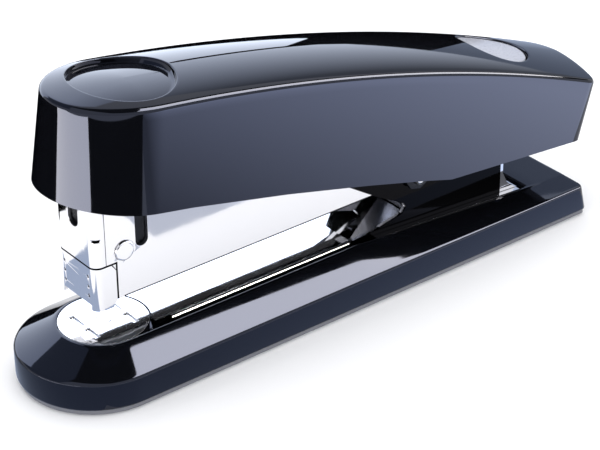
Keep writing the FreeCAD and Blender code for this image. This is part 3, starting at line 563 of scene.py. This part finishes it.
thumb_end, button_start, button_end = station(-107.0), station(-7.0), station(23.0)
thumb_loop = np.concatenate([inset_plan[:FRONT], side_a[:thumb_end], cross(thumb_end),
                             side_b[1:thumb_end][::-1]])
button_loop = np.concatenate([side_a[button_start:button_end], cross(button_end),
                              side_b[button_start:button_end][::-1],
                              cross(button_start)[::-1][1:-1]])
between = np.stack([cross(number) for number in range(thumb_end, button_start + 1)])
rear_sheet = blend(cross(button_end), back_row, np.linspace(0, 1, STATIONS - button_end + 1))
sheets = [(np.concatenate(shell_rows), True),
          (around_hole(thumb_loop, thumb_place, thumb_radius, thumb_depth), True),
          (on_top(between), False),
          (around_hole(button_loop, button_place, button_radius + button_gap, button_well,
                       button_bevel), True),
          (on_top(rear_sheet), False)]
skin("cover_moulding", sheets, "cover_shell", 50)

# %% [markdown]
# ## Release button
# The button's top follows the crown of the cover, so that it sits flush with a small step, and its
# edge is rounded. It is a stack of rings in the cover's frame.


# %% Release button
def release_button():
    """Rings: up the stem, out under the cap, up its side, over its edge and in to the middle."""
    turn = np.linspace(0, 2 * math.pi, 96, endpoint=False)

    def ring(radius, rise=None, lift=0.0):
        run = button_place + radius * np.cos(turn)
        across = radius * np.sin(turn)
        height = crown(run, across) + lift if rise is None else np.full(96, rise)
        return to_stapler(run, across, height)
    lift, soft = -button_step, 0.6
    stem_foot, stem_radius, cap_foot = 14.2, 2.9, 22.8
    low, edge = ring(button_radius, cap_foot + 0.2), ring(button_radius, None, lift)
    over, side = ring(button_radius - soft, None, lift), ring(button_radius, None, lift - 0.5)
    rows = [ring(0.0, stem_foot)[None], ring(stem_radius - 0.2, stem_foot)[None],
            ring(stem_radius, stem_foot + 0.2)[None], ring(stem_radius, cap_foot)[None],
            ring(button_radius - 0.3, cap_foot)[None], low[None], side[None],
            rounded(side, edge, over, 4), over[None]]
    rows += [ring(button_radius * part, None, lift)[None] for part in (0.85, 0.7, 0.5, 0.3, 0.15, 0)]
    return skin("button_cap", [(np.concatenate(rows), True)], "release_button", 50)


release_button()

# %% [markdown]
# ## Pressed steel and small parts
# The flat-sided pieces are right as the CAD has them, apart from one thing: a real pressed edge
# is never perfectly sharp, and the thin bright line along it is what makes steel look like steel.
# A copy of each piece is merged into one skin, its flat faces are joined, and its edges are
# rounded by a fraction of a millimetre.


# %% Rounded edges for a CAD piece
def softened(node, round_mm, segments=2, angle=30):
    """A copy of a CAD node with its edges rounded, standing for that node."""
    source = frame["nodes"][node]
    mesh = source.data.copy()
    mesh.name = node + "_finished"
    piece = bpy.data.objects.new(node + "_finished", mesh)
    bpy.context.scene.collection.objects.link(piece)
    work = bmesh.new()
    work.from_mesh(mesh)
    bmesh.ops.remove_doubles(work, verts=work.verts, dist=0.000002)
    bmesh.ops.dissolve_limit(work, angle_limit=math.radians(0.6), verts=work.verts,
                             edges=work.edges)
    sharp = [edge for edge in work.edges if len(edge.link_faces) == 2
             and edge.calc_face_angle(0) > math.radians(angle)]
    if round_mm and sharp:
        bmesh.ops.bevel(work, geom=sharp, offset=round_mm * MM, segments=segments, profile=0.5,
                        affect="EDGES", clamp_overlap=True)
    bmesh.ops.triangulate(work, faces=[face for face in work.faces if len(face.verts) > 4])
    work.to_mesh(mesh)
    work.free()
    for name in [attribute.name for attribute in mesh.attributes if attribute.name == "custom_normal"]:
        mesh.attributes.remove(mesh.attributes[name])
    mesh.shade_smooth()
    mesh.set_sharp_from_angle(angle=math.radians(35))
    level = piece.modifiers.new("even_shading", "WEIGHTED_NORMAL")
    level.keep_sharp = True
    dress(piece, node)
    return piece


edge_round = {"base_channel": 0.2, "magazine_channel": 0.15, "head_plate": 0.15,
              "drawer_nose": 0.15, "head_studs": 0.45, "anvil_disc": 0.12, "anvil_post": 0.1,
              "anvil_knob": 0.3, "hinge_pin": 0.3, "hinge_clips": 0.25, "base_sole": 0.15,
              "lever_frame": 0.2, "driver_bracket": 0.15, "driver_blade": 0.08, "driver_pin": 0.2,
              "staple_rail": 0.15, "staple_strip": 0.08, "staple_pusher": 0.2, "drawer_stop": 0.2,
              "pusher_rod": 0.15, "latch_lever": 0.25, "latch_pin": 0.2, "base_screws": 0.2,
              "cover_screws": 0.2, "channel_nuts": 0.15, "drive_spring": 0.1,
              "return_spring": 0.1, "button_guide": 0.2, "anvil_spring": 0, "button_spring": 0,
              "handle_spring": 0, "latch_spring": 0, "pusher_spring": 0}
finished = {node: softened(node, round_mm) for node, round_mm in edge_round.items()}
print("finished pieces:", len(finished))

# %% [markdown]
# Each spring is listed with the joint that works it, the axis it would flatten along, the end that
# stays put, and the share of its length that the joint's full travel leaves it. Here each spring only
# gets a mesh of its own.

# %% Springs and their joints
LOWEST, HIGHEST = 0, 1
upright, along, off_the_cover = (0, 0, 1), (1, 0, 0), (math.sin(pitch), 0, math.cos(pitch))
gives = {"anvil_spring": ("anvil_lift_slide", upright, HIGHEST, 0.34),
         "pusher_spring": ("pusher_slide", along, HIGHEST, 0.045),
         "latch_spring": ("button_slide", upright, HIGHEST, 0.5),
         "handle_spring": ("handle_hinge", upright, HIGHEST, 0.7),
         "button_spring": ("button_slide", off_the_cover, LOWEST, 0.45),
         "return_spring": ("magazine_hinge", upright, LOWEST, 0.25)}
for node, (joint, axis, fixed_end, share_left) in gives.items():
    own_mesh(finished[node])

# %% [markdown]
# ## Floor
# A pale, matt, seamless floor under plain white air. Both are as bright as paper, so that they
# meet without a line. The view transform is the plain one, which keeps white white.


# %% Floor
def floor_and_air():
    """A square of pale paper, four metres to each side, and even white air around it."""
    mesh = bpy.data.meshes.new("studio_floor")
    reach = 4.0
    mesh.from_pydata([(-reach, -reach, 0), (reach, -reach, 0), (reach, reach, 0),
                      (-reach, reach, 0)], [], [(0, 1, 2, 3)])
    floor = bpy.data.objects.new("studio_floor", mesh)
    bpy.context.scene.collection.objects.link(floor)
    made, tree, shader = start_material("pale_paper", base_color=linear("F7F7F8"), roughness=0.9,
                                        specular_ior_level=0.0)
    mesh.materials.append(made)
    air = bpy.data.worlds.new("studio_air")
    bpy.context.scene.world = air
    air.use_nodes = True
    glow = air.node_tree.nodes["Background"]
    glow.inputs["Color"].default_value = linear("FBFCFF")
    glow.inputs["Strength"].default_value = 1.0
    bpy.context.scene.view_settings.view_transform = "Standard"


floor_and_air()


# %% [markdown]
# ## Light and cards
# One big soft light stands above. What a mirror gloss shows is its surroundings, so a studio
# places cards for it, bright ones and black ones. These cards glow for mirror rays only. The
# floor cards are wedges that fan out from the cover's round front, and give it its upright
# stripes. The sheet beside the stapler gets brighter towards the rear, and shows in the cover's
# flat side. The backdrop shows in the crowned top, and the box overhead shows in the base's slope
# and as the thin bright line along the cover's rim. All their places are in millimetres.


# %% The soft light
def aim(obj, place, target):
    """Stand a light at a place, facing a target."""
    turned = (Vector(target) - Vector(place)).to_track_quat("-Z", "Y").to_matrix().to_4x4()
    obj.matrix_world = Matrix.Translation(place) @ turned


def soft_light(name, place, target, width, height, power):
    """A rectangular lamp, in metres and watts, that mirror finishes don't show."""
    lamp = bpy.data.lights.new(name, "AREA")
    lamp.shape = "RECTANGLE"
    lamp.size, lamp.size_y = width, height
    lamp.energy = power
    holder = bpy.data.objects.new(name, lamp)
    bpy.context.scene.collection.objects.link(holder)
    holder.visible_glossy = False
    aim(holder, place, target)


soft_light("top_softbox", (0.1, 0.1, 1.3), (0, 0, 0), 1.2, 1.2, 10)
print("lamps:", len(bpy.data.lights))


# %% Cards that only the gloss sees
def card(name, corners, glow, far_glow=None, line=None, colour="FFFFFF"):
    """A flat card that only mirror reflections see; its glow may change along a line of direction."""
    mesh = bpy.data.meshes.new(name)
    mesh.from_pydata((np.array(corners, float) * MM).tolist(), [], [tuple(range(len(corners)))])
    piece = bpy.data.objects.new(name, mesh)
    bpy.context.scene.collection.objects.link(piece)
    made = bpy.data.materials.new(name)
    made.use_nodes = True
    tree = made.node_tree
    tree.nodes.remove(tree.nodes["Principled BSDF"])
    lamp = add(tree, "ShaderNodeEmission", inputs={"Color": linear(colour), "Strength": glow})
    if line:
        direction, start, stop = line
        spot = add(tree, "ShaderNodeTexCoord").outputs["Object"]
        along = add(tree, "ShaderNodeVectorMath", {"operation": "DOT_PRODUCT"},
                    {0: spot, 1: direction})
        rise = add(tree, "ShaderNodeMapRange", inputs={"Value": along.outputs["Value"],
                   "From Min": start * MM, "From Max": stop * MM, "To Min": glow, "To Max": far_glow})
        tree.links.new(rise.outputs["Result"], lamp.inputs["Strength"])
    tree.links.new(lamp.outputs["Emission"], tree.nodes["Material Output"].inputs["Surface"])
    mesh.materials.append(made)
    piece.visible_camera = piece.visible_diffuse = piece.visible_transmission = False
    piece.visible_shadow = piece.visible_volume_scatter = False


WARM, COOL, SKY, SHEET = "FFF8EC", "D0E0FF", "E6EFFF", "E8EEFF"


def wedge(start, bearing):
    """Two points just above the floor, near and far along a bearing from +X, in degrees."""
    way = np.array([math.cos(math.radians(bearing)), math.sin(math.radians(bearing))])
    return [[*(np.array(start) + way * reach), 0.5] for reach in (150, 540)]


def upright_card(name, depth, corners, glow, **more):
    """A card across the stapler's length, at one depth; corners are (along, up)."""
    card(name, [[along, depth, up] for along, up in corners], glow, **more)


def level_card(name, height, corners, glow, **more):
    """A card parallel to the floor, at one height; corners are (along, across)."""
    card(name, [[along, across, height] for along, across in corners], glow, **more)


# %% Cards on the floor
left_near, left_far = wedge((front - 1, -4), 155)
middle_near, middle_far = wedge((front + 4, -14), -146)
right_near, right_far = wedge((front + 18, -20), -78)
card("front_strip", [left_near, middle_near, middle_far, left_far], 12.0, colour=WARM)
card("black_floor_ahead", [middle_near, right_near, right_far, middle_far], 0.0)
card("black_floor_behind", [left_near, left_far, [-560, 900, 0.5], [800, 900, 0.5],
                            [800, 90, 0.5], [-60, 90, 0.5]], 0.0)
by_skirt = 0.62
level_card("skirt_sheet_side", 0.3, [(front + 10, -23), (front + 196, -23), (front + 196, -42),
                                     (front + 10, -42)],
           by_skirt, far_glow=by_skirt * 2, line=((1, 0, 0), -60, 90), colour=COOL)
level_card("skirt_sheet_front", 0.3, [(front - 30, -42), (front + 10, -42), (front + 12, 42),
                                      (front - 30, 60)], by_skirt, colour=COOL)
level_card("side_sheet", 0.4, [(front + 75, -66), (520, -66), (520, -560), (front + 75, -560)],
           0.72, far_glow=4.5, line=((1, 0, 0), 5, 165), colour=SHEET)

# %% Cards behind and overhead
behind = 300
upright_card("backdrop", behind, [(-200, 0), (1300, 0), (1300, 560), (-200, 560)],
             3.1, far_glow=0.5, line=((1.1, 0, 1), 480, 1150), colour=SKY)
upright_card("backdrop_line", behind - 2, [(205, 182), (395, 5), (395, 50), (205, 222)], 0.0)
upright_card("backdrop_dark", behind - 4, [(-400, -5), (1300, -5), (1300, 112), (345, 95),
                                           (240, 38), (-400, 38)], 0.0)
overhead = 300
level_card("overhead_box", overhead, [(14, -260), (760, -260), (760, -25), (50, -25)], 14.5,
           colour=WARM)
level_card("overhead_dark", overhead + 3, [(-170, -330), (900, -330), (900, 40), (-170, 62)], 0.0)
level_card("overhead_left", overhead + 6, [(-700, -60), (-130, 40), (-60, 70), (-60, 520),
                                           (-700, 520)], 0.4, colour=COOL)
aside = 46
upright_card("dark_aside", aside, [(58, 8), (112, 8), (112, 84), (34, 84)], 0.0)
upright_card("blue_aside", aside, [(112, 8), (260, 8), (260, 84), (112, 84)], 0.7, colour=COOL)
print("overhead cards at", overhead, "mm, backdrop at", behind, "mm")

# %% [markdown]
# ## Camera
# A long lens, from the front and the left and a little above. The camera stands at a bearing and
# a height around a point of the stapler. Its frame is given by three arrows at right angles: back
# along the view, across, and up.

# %% Camera
azimuth, elevation, distance, tilt = -38.06, 30.33, 649.26, -0.52
target = np.array([front + 93.73, 0.0, 18.5])
focal_in_widths = 2273.99 / 600


def place_camera():
    """Stand the camera at its bearing round the target, level but for a slight tilt."""
    bearing, height, lean = (math.radians(a) for a in (azimuth, elevation, tilt))
    back = np.array([math.sin(bearing) * math.cos(height), -math.cos(bearing) * math.cos(height),
                     math.sin(height)])
    right = np.array([math.cos(bearing), math.sin(bearing), 0.0])
    up = np.cross(back, right)
    across = math.cos(lean) * right + math.sin(lean) * up
    upward = -math.sin(lean) * right + math.cos(lean) * up
    lens = bpy.data.cameras.new("camera")
    lens.sensor_width = 36.0
    lens.lens = 36.0 * focal_in_widths
    lens.shift_x, lens.shift_y = -0.005, 0.0047
    eye = bpy.data.objects.new("camera", lens)
    bpy.context.scene.collection.objects.link(eye)
    turned = Matrix(np.column_stack([across, upward, back]).tolist()).to_4x4()
    eye.matrix_world = Matrix.Translation((target + back * distance) * MM) @ turned
    bpy.context.scene.camera = eye


place_camera()
